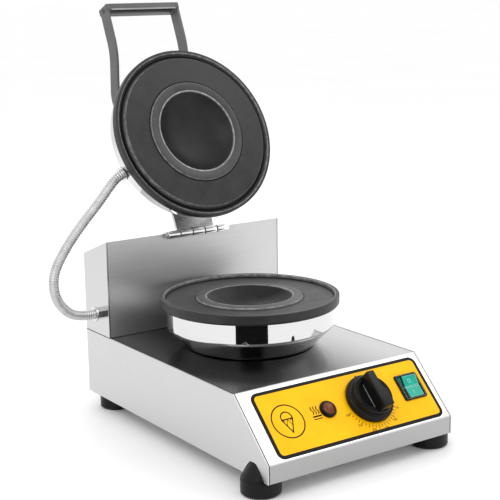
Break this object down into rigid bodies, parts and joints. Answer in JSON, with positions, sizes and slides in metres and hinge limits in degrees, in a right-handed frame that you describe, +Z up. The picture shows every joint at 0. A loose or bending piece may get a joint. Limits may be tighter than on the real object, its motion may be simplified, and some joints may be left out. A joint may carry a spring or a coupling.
{
  "type": "cone and bun press",
  "caption": "Countertop electric press with a heated lower plate on a steel case and a heated lid on a rear hinge, for rolled wafers and filled buns.",
  "frame": {"origin": "floor level under the middle of the machine's box, feet included", "axes": "+X to the machine's right as seen from its front, +Y to its back, +Z up; the front lip faces -Y"},
  "size_m": [0.322, 0.4423, 0.4691],
  "materials": {
    "case_steel": "satin stainless sheet",
    "deck_steel": "satin stainless sheet",
    "polished_steel": "mirror-polished spun stainless",
    "plate_coating": "cast aluminium with a dark non-stick coating",
    "label_print": "yellow printed overlay with a black border",
    "knob_plastic": "moulded black plastic",
    "pointer_paint": "light painted line",
    "black_plastic": "moulded black plastic",
    "amber_lens": "unlit amber lens",
    "rocker_plastic": "translucent green plastic",
    "lamp_body": "white moulded plastic",
    "bright_hardware": "bright zinc-plated steel",
    "hinge_steel": "plain stainless",
    "inner_steel": "mill finish",
    "element_sheath": "dark heating tube sheath",
    "ceramic_wool": "white ceramic fibre",
    "ceramic": "glazed ceramic",
    "arm_metal": "dark grey painted steel",
    "handle_plastic": "moulded dark grey plastic",
    "foot_rubber": "black rubber",
    "conduit_metal": "ribbed flexible metal conduit"
  },
  "bodies": {
    "base": {"bottom_plate": "case_steel", "conduit": "conduit_metal", "conduit_gland_lower": "black_plastic", "conduit_locknut_lower": "bright_hardware", "deck_wrap": "deck_steel", "fascia_label": "label_print", "foot_brackets": "inner_steel", "foot_front_left": "foot_rubber", "foot_front_right": "foot_rubber", "foot_rear_left": "foot_rubber", "foot_rear_right": "foot_rubber", "foot_screws": "bright_hardware", "hinge_leaf_fixed": "hinge_steel", "hinge_pin": "bright_hardware", "hinge_screws": "bright_hardware", "housing_front": "deck_steel", "housing_shell": "case_steel", "housing_top": "case_steel", "lower_clamp_ring": "inner_steel", "lower_element": "element_sheath", "lower_insulation": "ceramic_wool", "lower_plate": "plate_coating", "lower_shell": "polished_steel", "lower_stud_nuts": "bright_hardware", "lower_studs": "bright_hardware", "mains_gland": "black_plastic", "pilot_bezel": "black_plastic", "pilot_lamp": "lamp_body", "pilot_lens": "amber_lens", "rear_panel": "case_steel", "side_panel_left": "case_steel", "side_panel_right": "case_steel", "switch_case": "black_plastic", "terminal_block": "ceramic", "thermostat_body": "bright_hardware", "thermostat_bulb": "bright_hardware"},
    "lid": {"upper_clamp_ring": "inner_steel", "upper_element": "element_sheath", "upper_insulation": "ceramic_wool", "upper_plate": "plate_coating", "upper_shell": "polished_steel", "upper_stud_nuts": "bright_hardware", "upper_studs": "bright_hardware", "hinge_leaf_moving": "hinge_steel", "lid_bracket": "hinge_steel", "bracket_screws": "bright_hardware", "handle_arm_left": "arm_metal", "handle_arm_right": "arm_metal", "handle_grip": "handle_plastic", "handle_screws": "bright_hardware", "grip_screws": "bright_hardware", "conduit_gland_upper": "black_plastic", "conduit_locknut_upper": "bright_hardware"},
    "thermostat_knob": {"knob": "knob_plastic", "knob_pointer": "pointer_paint", "thermostat_shaft": "bright_hardware"},
    "power_rocker": {"switch_rocker": "rocker_plastic"}
  },
  "joints": [
    {"name": "lid_hinge", "type": "hinge", "parent": "base", "child": "lid", "pos_m": [0, 0.0898, 0.20491], "axis": [1, 0, 0], "range_deg": [0, 115], "deforming": ["conduit"]},
    {"name": "knob_turn", "type": "hinge", "parent": "base", "child": "thermostat_knob", "pos_m": [0.028, -0.18747, 0.06454], "axis": [0, -0.7009, 0.7132], "range_deg": [-270, 0]},
    {"name": "rocker_tilt", "type": "hinge", "parent": "base", "child": "power_rocker", "pos_m": [0.088, -0.18463, 0.06593], "axis": [1, 0, 0], "range_deg": [-14, 0]}
  ]
}
